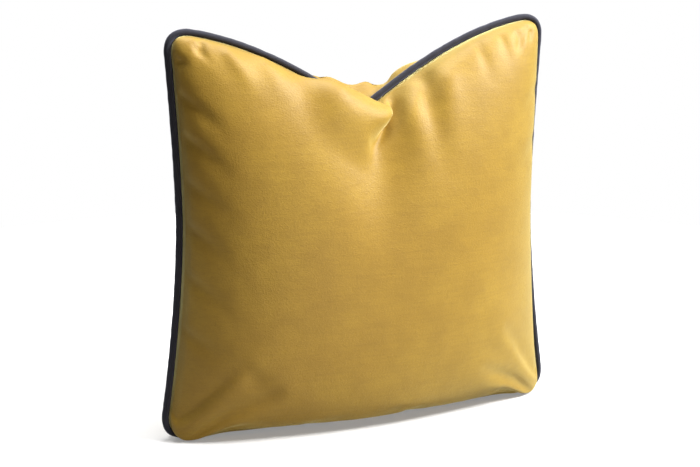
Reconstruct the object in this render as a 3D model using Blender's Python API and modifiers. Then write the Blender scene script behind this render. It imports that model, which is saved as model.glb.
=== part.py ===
"""Piped throw pillow, standing on its bottom edge with a chopped top.

Units are metres, +Z is up, the front panel faces -Y and the pillow stands on z = 0.
A velvet cover of two panels is sewn round a piping. A coil zip in the bottom edge lets
the feather insert out. Every soft piece is a grid that is bent to the outline of the
cover and thickened, so all of them follow the outline's own values.
"""

import math

import bmesh
import bpy
import numpy as np
from mathutils import Vector

# ---- outline of the cover, along the middle of its piping ----
BOTTOM_HALF_WIDTH = 0.2265  # at the two bottom corners
WAIST_HALF_WIDTH = 0.2015  # where the sides pull in most
TOP_HALF_WIDTH = 0.2110  # at the two top corners
WAIST_HEIGHT = 0.235
TOP_LEFT_HEIGHT = 0.4265
TOP_RIGHT_HEIGHT = 0.4320
CHOP_HEIGHT = 0.3410  # lowest point of the chop in the top edge
CHOP_OFFSET = -0.003  # of the chop from the middle
CHOP_ROUNDING = 0.008
CHOP_GATHER = 0.45  # how much the grid lines close up there
CHOP_POWER = 1.8  # above 1, the two arms of the chop flatten towards the corners
SIDE_POWER = 1.6
CORNER_ROUND = 0.026  # how far from a corner its rounding starts
BOTTOM_ARCH = 0.0067  # the bottom seam's middle stands this much above its corners
ARCH_FALL = 0.030  # length over which the seam comes down from the arch to a corner

# ---- cover ----
COVER_BULGE = 0.0735  # from the seam's plane to the middle of a panel's face
VELVET = 0.0010
BULGE_POWER = 0.84  # under 1, the faces leave the seam steeply
BASE_SAG = 1.25  # how far the lower faces sink, as a share of their bulge
CHOP_DENT = 0.42  # share of the bulge lost beside the chop
CHOP_DENT_WIDTH = 0.034
CHOP_DENT_DEPTH = 0.055

# ---- piping ----
CORD_RADIUS = 0.0025
PIPING_FABRIC = 0.0007
FLANGE_WIDTH = 0.0065  # of the piping's own sewing edge, inwards from its tube

# ---- insert: feather filling in a cotton case ----
INSERT_INSET = 0.0145  # of the case's own seam from the cover's
INSERT_LIFT = 0.0160  # of the case's bottom edge, above the zip
INSERT_CLOTH = 0.0008
FILL_INSET = 0.0040  # of the filling from the case's own seam

# ---- zip, in the bottom edge behind the piping ----
ZIP_HALF_LENGTH = 0.166
TAPE_WIDTH = 0.0065
TAPE_THICKNESS = 0.0005
TAPE_GAP = 0.0010  # between the two tapes
COIL_WIDTH = 0.0017
COIL_HEIGHT = 0.0018
COIL_END = 0.008  # from an end of the tapes to the coils
STOP_LENGTH = 0.0032
SLIDER_LENGTH = 0.0090
SLIDER_WALL = 0.0008
SLIDER_PLATE = 0.0010
BRIDGE_WINDOW = (0.0026, 0.0015)  # length and height of the opening for the pull tab
BRIDGE_THICKNESS = 0.0008
BRIDGE_WIDTH = 0.0014
TAB_LENGTH = 0.0200
TAB_THICKNESS = 0.0008
TAB_ARM = 0.0011
TAB_EYE = 0.0034  # length of the tab's eye

# ---- care label, inside on the zip's front tape ----
LABEL_LENGTH = 0.032
LABEL_WIDTH = 0.0052
LABEL_THICKNESS = 0.0003
LABEL_FROM_END = 0.030

# ---- clearances between separate pieces ----
GAP = 0.0003
CASE_GAP = 0.0011  # between the case and the cover
FILL_GAP = 0.0012  # between the filling and its case

# ---- grid sizes ----
FACE_CELLS = 18  # of a face's grid, each way
OUTLINE_STEPS = 30
LIFT_POWER = 4  # how fast a raised or widened rim fades up a face
RIM_POWER = 8

# ---- values that follow from those above ----
COVER_RADIUS = CORD_RADIUS + GAP + PIPING_FABRIC
CORNER_SEAM_HEIGHT = COVER_RADIUS + GAP
FLANGE_MIDDLE = GAP / 2 + PIPING_FABRIC / 2
PANEL_EDGE_OUT = GAP / 2 + PIPING_FABRIC + GAP + VELVET
PANEL_EDGE_INSET = math.sqrt((COVER_RADIUS + GAP) ** 2 - (PANEL_EDGE_OUT - VELVET) ** 2)
CASE_BULGE = PANEL_EDGE_OUT + COVER_BULGE - VELVET - CASE_GAP - GAP / 2
CASE_FLOOR = VELVET + CASE_GAP
FILL_BULGE = CASE_BULGE - INSERT_CLOTH - FILL_GAP
ZIP_MIDDLE_Y = FLANGE_MIDDLE + PIPING_FABRIC / 2 + GAP + TAPE_WIDTH + TAPE_GAP / 2
ZIP_EDGE_OUT = ZIP_MIDDLE_Y + TAPE_GAP / 2 + TAPE_WIDTH + GAP
TAPE_TOP = CORNER_SEAM_HEIGHT + BOTTOM_ARCH + PANEL_EDGE_INSET + VELVET
COIL_TOP = TAPE_TOP - TAPE_THICKNESS - GAP
COIL_LOW = COIL_TOP - COIL_HEIGHT


def clear_scene():
    for thing in list(bpy.data.objects):
        bpy.data.objects.remove(thing, do_unlink=True)


def smooth(x):
    """0 below 0, 1 above 1, and a soft ramp between."""
    x = np.clip(x, 0.0, 1.0)
    return x * x * (3 - 2 * x)


# ---------------------------------------------------------------- outline


def side_x(z):
    """Half the width of the outline at height z."""
    below = max(0.0, (WAIST_HEIGHT - z) / WAIST_HEIGHT)
    above = max(0.0, (z - WAIST_HEIGHT) / (TOP_RIGHT_HEIGHT - WAIST_HEIGHT))
    flare = (BOTTOM_HALF_WIDTH - WAIST_HALF_WIDTH) * below**SIDE_POWER
    flare += (TOP_HALF_WIDTH - WAIST_HALF_WIDTH) * above**SIDE_POWER
    return WAIST_HALF_WIDTH + flare


def zip_share(x):
    """1 beside the zip, falling to 0 past its ends."""
    return 1 - float(smooth((abs(x) - ZIP_HALF_LENGTH - GAP) / ARCH_FALL))


def bottom_z(x):
    """Height of the bottom edge: straight along the zip, lower at the corners."""
    return CORNER_SEAM_HEIGHT + BOTTOM_ARCH * zip_share(x)


def top_z(x):
    """Height of the top edge, with the chop in its middle."""
    corner = TOP_RIGHT_HEIGHT if x > CHOP_OFFSET else TOP_LEFT_HEIGHT
    away = math.hypot(x - CHOP_OFFSET, CHOP_ROUNDING) - CHOP_ROUNDING
    share = min(1.0, away / TOP_HALF_WIDTH)
    return CHOP_HEIGHT + (corner - CHOP_HEIGHT) * (1 - (1 - share) ** CHOP_POWER)


def corner_curve(x, z, edge_z, up):
    """Right half of a rounded corner, as a quadratic curve from the edge to the side."""
    t = np.linspace(0, 1, 2 * OUTLINE_STEPS + 1)[:, None]
    along = np.array((x - CORNER_ROUND, edge_z(x - CORNER_ROUND)))
    beyond = np.array((side_x(z + up * CORNER_ROUND), z + up * CORNER_ROUND))
    return (1 - t) ** 2 * along + 2 * t * (1 - t) * np.array((x, z)) + t**2 * beyond


def outline():
    """The four edges of the outline as (x, z) points: bottom, right, top and left.

    Each edge runs from the middle of one rounded corner to the middle of the next,
    the bottom and top ones towards +x and the side ones upwards.
    """
    mirror, half = np.array((-1, 1)), OUTLINE_STEPS
    low = bottom_z(BOTTOM_HALF_WIDTH)
    low_right = corner_curve(side_x(low), low, bottom_z, 1)
    high = top_z(TOP_HALF_WIDTH)
    high_right = corner_curve(side_x(high), high, top_z, -1)
    high = top_z(-TOP_HALF_WIDTH)
    high_left = corner_curve(side_x(high), high, lambda x: top_z(-x), -1) * mirror
    low_left = low_right * mirror

    def along_x(height, start, end):
        xs = np.linspace(start[-1][0], end[0][0], 6 * OUTLINE_STEPS)[1:-1]
        return np.vstack([start, [(x, height(x)) for x in xs], end])

    def along_z(side, start, end):
        zs = np.linspace(start[-1][1], end[0][1], 6 * OUTLINE_STEPS)[1:-1]
        return np.vstack([start, [(side * side_x(z), z) for z in zs], end])

    bottom = along_x(bottom_z, low_left[half::-1], low_right[: half + 1])
    right = along_z(1, low_right[half:], high_right[: half - 1 : -1])
    top = along_x(top_z, high_left[half::-1], high_right[: half + 1])
    left = along_z(-1, low_left[half:], high_left[: half - 1 : -1])
    return bottom, right, top, left


def mitred(points, before, after):
    """Outward direction at each point of a line that the loop runs along."""
    line = np.vstack([before, points, after])
    step = np.diff(line, axis=0)
    step /= np.linalg.norm(step, axis=1)[:, None]
    normal = np.stack([step[:, 1], -step[:, 0]], axis=1)
    both = normal[:-1] + normal[1:]
    return both / (1 + (normal[:-1] * normal[1:]).sum(axis=1))[:, None]


def spread_out(s):
    """Grid line s, from 0 to 1, as a place across a face: closer together at its edges."""
    return (1 - math.cos(math.pi * s)) / 2


def top_share(u):
    """Place on the top edge, with the grid lines drawn together at the chop."""
    return u - CHOP_GATHER * math.sin(4 * math.pi * u) / (4 * math.pi)


def cell_corners():
    """The outline at a face's grid lines: its bottom, right, top and left edges."""
    shares = [spread_out(i / FACE_CELLS) for i in range(FACE_CELLS + 1)]
    edges = outline()
    lines = []
    for k, edge in enumerate(edges):
        steps = np.linalg.norm(np.diff(edge, axis=0), axis=1)
        length = np.concatenate([[0], np.cumsum(steps)]) / steps.sum()
        at = [top_share(u) for u in shares] if k == 2 else shares
        lines.append(np.stack([np.interp(at, length, edge[:, j]) for j in (0, 1)], axis=1))
    return lines


def seam_loop():
    """Closed loop of the rim's corners, anticlockwise from the front, and outwards there."""
    bottom, right, top, left = cell_corners()
    loop = np.vstack([bottom[:-1], right[:-1], top[:0:-1], left[:0:-1]])
    return loop, mitred(loop, loop[-1:], loop[:1])


def inset_edges(inset):
    """The outline's four edges, moved inwards from the seam."""
    loop, outward = seam_loop()
    loop = np.vstack([loop, loop[:1]]) - inset * np.vstack([outward, outward[:1]])
    starts = [k * FACE_CELLS for k in range(4)]
    bottom, right, top, left = (loop[k : k + FACE_CELLS + 1] for k in starts)
    return bottom, right, top[::-1], left[::-1]


# ---------------------------------------------------------------- objects


def material(name, colour, roughness, metallic=0.0):
    mat = bpy.data.materials.new(name)
    mat.use_nodes = True
    shader = mat.node_tree.nodes["Principled BSDF"]
    shader.inputs["Base Color"].default_value = (*colour, 1.0)
    shader.inputs["Roughness"].default_value = roughness
    shader.inputs["Metallic"].default_value = metallic
    return mat


def add_object(name, bm, mat, collection):
    mesh = bpy.data.meshes.new(name)
    bm.to_mesh(mesh)
    bm.free()
    mesh.materials.append(mat)
    obj = bpy.data.objects.new(name, mesh)
    collection.objects.link(obj)
    return obj


def bent_grid(columns, rows, place, joined=False):
    """A grid primitive whose points go to place(s, t), with s and t from 0 to 1."""
    bm = bmesh.new()
    bmesh.ops.create_grid(bm, x_segments=columns, y_segments=rows, size=0.5)
    for vert in bm.verts:
        vert.co = Vector(place(vert.co.x + 0.5, vert.co.y + 0.5))
    if joined:
        bmesh.ops.remove_doubles(bm, verts=bm.verts, dist=1e-6)
    for face in bm.faces:
        face.smooth = True
    return bm


def solidify(obj, thickness, offset, even=False):
    mod = obj.modifiers.new("thickness", "SOLIDIFY")
    mod.thickness = thickness
    mod.offset = offset
    mod.use_even_offset = even
    return obj


def box(size, middle):
    """A cube primitive stretched to a size, round a middle."""
    bm = bmesh.new()
    bmesh.ops.create_cube(bm, size=1.0)
    bmesh.ops.scale(bm, vec=Vector(size), verts=bm.verts)
    bmesh.ops.translate(bm, vec=Vector(middle), verts=bm.verts)
    return bm


def span(low, high):
    """Size and middle of the box between two corners."""
    size = [b - a for a, b in zip(low, high)]
    return size, [(a + b) / 2 for a, b in zip(low, high)]


def boolean(obj, cutter, operation):
    mod = obj.modifiers.new(operation.lower(), "BOOLEAN")
    mod.operation = operation
    mod.solver = "EXACT"
    mod.object = cutter


def bevel(obj, width, segments=2):
    mod = obj.modifiers.new("bevel", "BEVEL")
    mod.width = width
    mod.segments = segments
    mod.limit_method = "ANGLE"


# ---------------------------------------------------------------- soft pieces


def cushion_face(side, inset, bulge, edge_out, zip_edge_out, floor, lift):
    """A face of the cushion: a grid that fills the outline and swells to one side.

    side is -1 for the front and 1 for the back. edge_out is how far the face's rim
    lies from the seam's plane, and zip_edge_out the same beside the zip. The lower
    half sags, down to the height floor, and lift raises its bottom edge, along the sides.
    """
    cells = FACE_CELLS
    bottom, right, top, left = inset_edges(inset)

    def place(s, t):
        i, j = round(s * cells), round(t * cells)
        u, v = spread_out(s), spread_out(t)
        x, z = (1 - v) * bottom[i] + v * top[i] + (1 - u) * left[j] + u * right[j]
        flat = (1 - v) * ((1 - u) * bottom[0] + u * bottom[-1])
        flat += v * ((1 - u) * top[0] + u * top[-1])
        x, z = x - flat[0], z - flat[1]
        raised = z + lift * (1 - v) ** LIFT_POWER
        x, z = x * side_x(raised) / side_x(z), raised
        swell = max(0.0, math.sin(math.pi * s) * math.sin(math.pi * t)) ** BULGE_POWER
        beside = math.exp(-(((x - CHOP_OFFSET) / CHOP_DENT_WIDTH) ** 2))
        under = math.exp(-(1 - v) * CHOP_HEIGHT / CHOP_DENT_DEPTH)
        out = bulge * swell * (1 - CHOP_DENT * beside * under)
        z = max(floor, z - BASE_SAG * out * (1 - v) ** 2)
        rim = edge_out + (zip_edge_out - edge_out) * zip_share(x) * (1 - v) ** RIM_POWER
        return x, side * (out + rim), z

    # seen from outside, a front grid runs left to right and a back grid right to left
    if side < 0:
        return bent_grid(cells, cells, place)
    return bent_grid(cells, cells, lambda s, t: place(1 - s, t))


def cover_panel(name, side, mat, collection):
    zip_edge = ZIP_EDGE_OUT if side > 0 else PANEL_EDGE_OUT
    inset, rim = PANEL_EDGE_INSET, PANEL_EDGE_OUT
    bm = cushion_face(side, inset, COVER_BULGE, rim, zip_edge, 0.0, 0.0)
    return solidify(add_object(name, bm, mat, collection), VELVET, -1)


def insert_case(name, side, mat, collection):
    rim = GAP / 2 + INSERT_CLOTH
    inset, bulge = INSERT_INSET, CASE_BULGE - rim
    bm = cushion_face(side, inset, bulge, rim, rim, CASE_FLOOR, INSERT_LIFT)
    return solidify(add_object(name, bm, mat, collection), INSERT_CLOTH, -1)


def insert_fill(mat, collection):
    inset = INSERT_INSET + FILL_INSET
    floor = CASE_FLOOR + INSERT_CLOTH + FILL_GAP
    lift = INSERT_LIFT + FILL_INSET
    bm = cushion_face(-1, inset, FILL_BULGE, 0.0, 0.0, floor, lift)
    obj = add_object("insert_fill", bm, mat, collection)
    mod = obj.modifiers.new("back_half", "MIRROR")
    mod.use_axis = (False, True, False)
    mod.merge_threshold = 0.0001
    return obj


def piping_cover(mat, collection):
    """Bias strip: round the cord, then two layers inwards as the sewing edge."""
    middle = COVER_RADIUS - PIPING_FABRIC / 2
    opening = math.asin(FLANGE_MIDDLE / middle)
    turns = np.linspace(math.pi - opening, opening - math.pi, 9)
    tube = [(middle * math.cos(a), -middle * math.sin(a)) for a in turns]
    end = -COVER_RADIUS - FLANGE_WIDTH
    section = [(end, -FLANGE_MIDDLE), *tube, (end, FLANGE_MIDDLE)]
    points, outward = seam_loop()
    stations = len(points)

    def place(s, t):
        i = round(s * stations) % stations
        out, y = section[round(t * (len(section) - 1))]
        x, z = points[i] + out * outward[i]
        return x, y, z

    bm = bent_grid(stations, len(section) - 1, place, joined=True)
    obj = add_object("piping_cover", bm, mat, collection)
    return solidify(obj, PIPING_FABRIC, 0, even=True)


def piping_cord(mat, collection):
    """The cotton cord inside the piping: a closed round curve along the seam."""
    points, _ = seam_loop()
    curve = bpy.data.curves.new("piping_cord", "CURVE")
    curve.dimensions = "3D"
    curve.bevel_depth = CORD_RADIUS
    curve.bevel_resolution = 1
    spline = curve.splines.new("POLY")
    spline.points.add(len(points) - 1)
    for point, (x, z) in zip(spline.points, points):
        point.co = (x, 0.0, z, 1.0)
    spline.use_cyclic_u = True
    curve.materials.append(mat)
    obj = bpy.data.objects.new("piping_cord", curve)
    collection.objects.link(obj)
    return obj


# ---------------------------------------------------------------- zip


def zip_strip(name, side, x_range, y_range, z_range, mat, collection):
    """A straight piece of the zip on one side of its middle line."""
    y0, y1 = sorted(ZIP_MIDDLE_Y + side * y for y in y_range)
    size, middle = span((x_range[0], y0, z_range[0]), (x_range[1], y1, z_range[1]))
    return add_object(name, box(size, middle), mat, collection)


def zip_tapes_and_coils(mats, collection):
    coil_x = (-ZIP_HALF_LENGTH + COIL_END, ZIP_HALF_LENGTH - COIL_END)
    tape_x = (-ZIP_HALF_LENGTH, ZIP_HALF_LENGTH)
    tape_z = (TAPE_TOP - TAPE_THICKNESS, TAPE_TOP)
    coil_z = (COIL_LOW, COIL_TOP)
    tape_y = (TAPE_GAP / 2, TAPE_GAP / 2 + TAPE_WIDTH)
    coil_y = (GAP / 2, GAP / 2 + COIL_WIDTH)
    stop_x = (coil_x[1] + GAP, coil_x[1] + GAP + STOP_LENGTH)
    for side, word in ((-1, "front"), (1, "back")):
        zip_strip(f"zip_tape_{word}", side, tape_x, tape_y, tape_z, mats["tape"], collection)
        zip_strip(f"zip_coil_{word}", side, coil_x, coil_y, coil_z, mats["coil"], collection)
        zip_strip(f"zip_top_stop_{word}", side, stop_x, coil_y, coil_z, mats["metal"], collection)
    size, middle = span(
        (coil_x[0] - GAP - STOP_LENGTH, ZIP_MIDDLE_Y - coil_y[1], COIL_LOW),
        (coil_x[0] - GAP, ZIP_MIDDLE_Y + coil_y[1], COIL_TOP),
    )
    stop = add_object("zip_bottom_stop", box(size, middle), mats["metal"], collection)
    bevel(stop, STOP_LENGTH / 12)


def slider_place():
    """Middle of the slider when the zip is closed, and the height of the tab's axis."""
    x = ZIP_HALF_LENGTH - COIL_END - GAP - SLIDER_LENGTH / 2
    plate_low = COIL_LOW - GAP - SLIDER_PLATE
    return x, plate_low, plate_low - BRIDGE_WINDOW[1] / 2


def zip_slider(mat, collection, cutters):
    """Channel that runs round the two coils, with a bridge below for the pull tab."""
    x, plate_low, _ = slider_place()
    half_in = GAP / 2 + COIL_WIDTH + GAP
    half_out = half_in + SLIDER_WALL
    half_length = SLIDER_LENGTH / 2
    top = TAPE_TOP - TAPE_THICKNESS - GAP
    size, middle = span(
        (-half_length, -half_out, plate_low), (half_length, half_out, top)
    )
    slider = add_object("zip_slider", box(size, middle), mat, collection)
    size, middle = span(
        (-SLIDER_LENGTH, -half_in, plate_low + SLIDER_PLATE),
        (SLIDER_LENGTH, half_in, top + SLIDER_PLATE),
    )
    channel = add_object("slider_channel_cutter", box(size, middle), mat, cutters)
    window, drop = BRIDGE_WINDOW
    half_bridge = window / 2 + BRIDGE_THICKNESS
    low = plate_low - drop - BRIDGE_THICKNESS
    size, middle = span(
        (-half_bridge, -BRIDGE_WIDTH / 2, low),
        (half_bridge, BRIDGE_WIDTH / 2, plate_low + SLIDER_PLATE / 2),
    )
    bridge = add_object("slider_bridge_block", box(size, middle), mat, cutters)
    size, middle = span(
        (-window / 2, -BRIDGE_WIDTH, plate_low - drop), (window / 2, BRIDGE_WIDTH, plate_low)
    )
    opening = add_object("slider_window_cutter", box(size, middle), mat, cutters)
    boolean(slider, channel, "DIFFERENCE")
    boolean(slider, bridge, "UNION")
    boolean(slider, opening, "DIFFERENCE")
    for obj in (slider, channel, bridge, opening):
        obj.location = (x, ZIP_MIDDLE_Y, 0.0)
    for obj in (channel, bridge, opening):
        obj.hide_render = True
        obj.display_type = "WIRE"
    return slider


def zip_pull_tab(mat, collection, cutters):
    """Flat tab whose crossbar lies in the slider's bridge, with its origin on that axis."""
    x, _, axis_z = slider_place()
    half = TAB_THICKNESS / 2
    eye_half = BRIDGE_WIDTH / 2 + GAP
    width_half = eye_half + TAB_ARM
    size, middle = span((-TAB_LENGTH, -width_half, -half), (half, width_half, half))
    tab = add_object("zip_pull_tab", box(size, middle), mat, collection)
    size, middle = span((-half - TAB_EYE, -eye_half, -2 * half), (-half, eye_half, 2 * half))
    eye = add_object("tab_eye_cutter", box(size, middle), mat, cutters)
    eye.hide_render = True
    eye.display_type = "WIRE"
    boolean(tab, eye, "DIFFERENCE")
    for obj in (tab, eye):
        obj.location = (x, ZIP_MIDDLE_Y, axis_z)
    return tab


def care_label(mat, collection):
    """Woven label that lies inside, on the front tape."""
    low_x = LABEL_FROM_END - ZIP_HALF_LENGTH
    mid_y = ZIP_MIDDLE_Y - TAPE_GAP / 2 - TAPE_WIDTH / 2
    size, middle = span(
        (low_x, mid_y - LABEL_WIDTH / 2, TAPE_TOP + GAP),
        (low_x + LABEL_LENGTH, mid_y + LABEL_WIDTH / 2, TAPE_TOP + GAP + LABEL_THICKNESS),
    )
    return add_object("care_label", box(size, middle), mat, collection)


def main():
    clear_scene()
    pillow = bpy.data.collections.new("throw_pillow")
    cutters = bpy.data.collections.new("cutters")
    bpy.context.scene.collection.children.link(pillow)
    bpy.context.scene.collection.children.link(cutters)

    velvet = material("mustard_velvet", (0.56, 0.36, 0.075), 0.85)
    piping = material("navy_piping", (0.026, 0.027, 0.040), 0.80)
    cord = material("cotton_cord", (0.70, 0.66, 0.57), 0.90)
    cotton = material("insert_cotton", (0.80, 0.78, 0.73), 0.90)
    feather = material("insert_feather", (0.85, 0.83, 0.79), 0.95)
    zip_mats = {
        "tape": material("zip_tape", (0.42, 0.27, 0.065), 0.85),
        "coil": material("zip_coil", (0.40, 0.26, 0.07), 0.45),
        "metal": material("zip_metal", (0.62, 0.60, 0.56), 0.30, 1.0),
    }
    label = material("label_satin", (0.86, 0.85, 0.82), 0.55)

    cover_panel("front_panel", -1, velvet, pillow)
    cover_panel("back_panel", 1, velvet, pillow)
    piping_cover(piping, pillow)
    piping_cord(cord, pillow)
    insert_case("insert_case_front", -1, cotton, pillow)
    insert_case("insert_case_back", 1, cotton, pillow)
    insert_fill(feather, pillow)
    zip_tapes_and_coils(zip_mats, pillow)
    slider = zip_slider(zip_mats["metal"], pillow, cutters)
    tab = zip_pull_tab(zip_mats["metal"], pillow, cutters)
    care_label(label, pillow)
    bpy.context.view_layer.update()
    tab.parent = slider
    tab.matrix_parent_inverse = slider.matrix_world.inverted()


main()
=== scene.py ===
import math

import bmesh
import bpy
import numpy as np
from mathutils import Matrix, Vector


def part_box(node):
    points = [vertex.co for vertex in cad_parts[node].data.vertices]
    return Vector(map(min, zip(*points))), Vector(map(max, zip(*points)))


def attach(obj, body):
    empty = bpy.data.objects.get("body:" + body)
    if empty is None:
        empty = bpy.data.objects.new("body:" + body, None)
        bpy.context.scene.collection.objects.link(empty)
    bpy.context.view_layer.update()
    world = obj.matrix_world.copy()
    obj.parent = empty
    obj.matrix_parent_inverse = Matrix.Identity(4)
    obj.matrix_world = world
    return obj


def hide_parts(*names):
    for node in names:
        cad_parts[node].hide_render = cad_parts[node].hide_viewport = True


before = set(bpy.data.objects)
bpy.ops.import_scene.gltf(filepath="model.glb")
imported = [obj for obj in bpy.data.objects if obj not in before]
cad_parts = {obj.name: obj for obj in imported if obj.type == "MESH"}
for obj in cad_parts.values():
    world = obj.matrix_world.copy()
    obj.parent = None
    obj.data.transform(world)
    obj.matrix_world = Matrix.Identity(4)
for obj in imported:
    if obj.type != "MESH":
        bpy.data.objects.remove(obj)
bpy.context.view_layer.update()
scene = bpy.context.scene
print("frame loaded")


def smooth(x):
    x = np.clip(x, 0.0, 1.0)
    return x * x * (3 - 2 * x)


def bump(x, middle, width):
    return np.exp(-(((x - middle) / width) ** 2))


def meshObject(name, points, faces, material=None):
    mesh = bpy.data.meshes.new(name)
    mesh.from_pydata([tuple(p) for p in points], [], faces)
    mesh.validate()
    mesh.shade_smooth()
    obj = bpy.data.objects.new(name, mesh)
    scene.collection.objects.link(obj)
    if material:
        mesh.materials.append(material)
    return obj


def gridFaces(columns, rows, flip=False):
    faces = []
    for j in range(rows):
        for i in range(columns):
            a = j * (columns + 1) + i
            quad = (a, a + 1, a + columns + 2, a + columns + 1)
            faces.append(quad[::-1] if flip else quad)
    return faces


# the cushion's outline, seen from the front, in metres
outline = {
    "bottomHalfWidth": 0.2265,
    "waistHalfWidth": 0.2015,
    "topHalfWidth": 0.2110,
    "waistHeight": 0.235,
    "topLeftHeight": 0.4265,
    "topRightHeight": 0.4320,
    "chopHeight": 0.3410,
    "chopOffset": -0.003,
    "chopRounding": 0.008,
    "chopPower": 1.8,
    "sidePower": 1.6,
    "cornerRound": 0.026,
    "bottomHeight": 0.0038,
    "bottomArch": 0.0067,
    "archHalf": 0.1663,
    "archFall": 0.030,
}


def sideX(z):
    o = outline
    below = max(0.0, (o["waistHeight"] - z) / o["waistHeight"])
    above = max(0.0, (z - o["waistHeight"]) / (o["topRightHeight"] - o["waistHeight"]))
    flare = (o["bottomHalfWidth"] - o["waistHalfWidth"]) * below ** o["sidePower"]
    flare += (o["topHalfWidth"] - o["waistHalfWidth"]) * above ** o["sidePower"]
    return o["waistHalfWidth"] + flare


def zipShare(x):
    return 1 - smooth((np.abs(x) - outline["archHalf"]) / outline["archFall"])


def bottomZ(x):
    return outline["bottomHeight"] + outline["bottomArch"] * zipShare(x)


def topZ(x):
    o = outline
    corner = o["topRightHeight"] if x > o["chopOffset"] else o["topLeftHeight"]
    away = math.hypot(x - o["chopOffset"], o["chopRounding"]) - o["chopRounding"]
    share = min(1.0, away / o["topHalfWidth"])
    return o["chopHeight"] + (corner - o["chopHeight"]) * (1 - (1 - share) ** o["chopPower"])


def cornerCurve(x, z, edgeZ, up):
    r = outline["cornerRound"]
    t = np.linspace(0, 1, 61)[:, None]
    along = np.array((x - r, edgeZ(x - r)))
    beyond = np.array((sideX(z + up * r), z + up * r))
    return (1 - t) ** 2 * along + 2 * t * (1 - t) * np.array((x, z)) + t**2 * beyond


def outlineEdges():
    # bottom, right, top and left edges, each from the middle of one corner to the next
    mirror, half = np.array((-1, 1)), 30
    low = float(bottomZ(outline["bottomHalfWidth"]))
    lowRight = cornerCurve(sideX(low), low, bottomZ, 1)
    high = topZ(outline["topHalfWidth"])
    highRight = cornerCurve(sideX(high), high, topZ, -1)
    high = topZ(-outline["topHalfWidth"])
    highLeft = cornerCurve(sideX(high), high, lambda x: topZ(-x), -1) * mirror
    lowLeft = lowRight * mirror

    def alongX(height, start, end):
        xs = np.linspace(start[-1][0], end[0][0], 240)[1:-1]
        return np.vstack([start, [(x, height(x)) for x in xs], end])

    def alongZ(side, start, end):
        zs = np.linspace(start[-1][1], end[0][1], 240)[1:-1]
        return np.vstack([start, [(side * sideX(z), z) for z in zs], end])

    bottom = alongX(bottomZ, lowLeft[half::-1], lowRight[: half + 1])
    right = alongZ(1, lowRight[half:], highRight[: half - 1 : -1])
    top = alongX(topZ, highLeft[half::-1], highRight[: half + 1])
    left = alongZ(-1, lowLeft[half:], highLeft[: half - 1 : -1])
    return bottom, right, top, left


def resampled(line, shares):
    steps = np.linalg.norm(np.diff(line, axis=0), axis=1)
    length = np.concatenate([[0], np.cumsum(steps)]) / steps.sum()
    return np.stack([np.interp(shares, length, line[:, k]) for k in (0, 1)], axis=1)


def outward(loop):
    # outward direction at each point of a closed loop that runs anticlockwise
    step = np.roll(loop, -1, axis=0) - np.roll(loop, 1, axis=0)
    step /= np.linalg.norm(step, axis=1)[:, None]
    return np.stack([step[:, 1], -step[:, 0]], axis=1)


def spread(s):
    # grid lines drawn together towards the rim
    return s - cover["gather"] * np.sin(2 * math.pi * s) / (2 * math.pi)


def rimEdges(inset):
    # the four edges at the grid lines, moved inwards from the seam
    n = cover["cells"]
    shares = spread(np.linspace(0, 1, n + 1))
    bottom, right, top, left = (resampled(e, shares) for e in outlineEdges())
    loop = np.vstack([bottom[:-1], right[:-1], top[:0:-1], left[:0:-1]])
    loop = loop - inset * outward(loop)
    loop = np.vstack([loop, loop[:1]])
    bottom, right, top, left = (loop[k * n : k * n + n + 1] for k in range(4))
    return bottom, right, top[::-1], left[::-1]


cover = {
    "cells": 72,
    "bulge": 0.0690,
    "rimOut": 0.00195,
    "rimInset": 0.0034,
    "zipRimOut": 0.0150,
    "zipEnd": 0.156,  # where the back's edge starts to close behind the zip
    "zipTurn": 0.014,
    "gather": 0.52,
    "fabric": 0.0009,
    "baseSag": 1.25,
    "floor": 0.0010,
    "cutWidth": 0.474,
    "cutHeight": 0.466,
    "pressure": 6.0,
    "frames": 30,
    "cap": 0.028,
    "swellPower": 0.84,
    "chopWidth": 0.034,  # the flatter zone under the chop
    "chopFade": 0.055,
    "chopHollow": 0.42,
    "zipFade": 8,
    "evenings": 2,
    "evenKeep": 0.5,
    "shapeFree": 0.012,  # share of the panel next to the seam that keeps its shape
    "foldFree": 0.010,
}

# how the cloth behaves while it settles
settling = {
    "quality": 7,
    "mass": 0.25,
    "stretch": 18,
    "shear": 6,
    "bending": 2.2,
}

# the front's belly stays a little above the floor between the corners
belly = {
    "lift": 0.009,
    "height": 0.028,
    "end": 0.15,
    "slope": 0.05,
    "free": 0.02,
}

# the hollow in the back panel at the zip's ends, where the pull tab turns over
tabHollow = {
    "height": 0.0124,
    "depth": 0.019,
    "depthSlope": 0.006,
    "start": 0.150,
    "startSlope": 0.004,
    "end": 0.177,
    "endSlope": 0.006,
}


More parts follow.
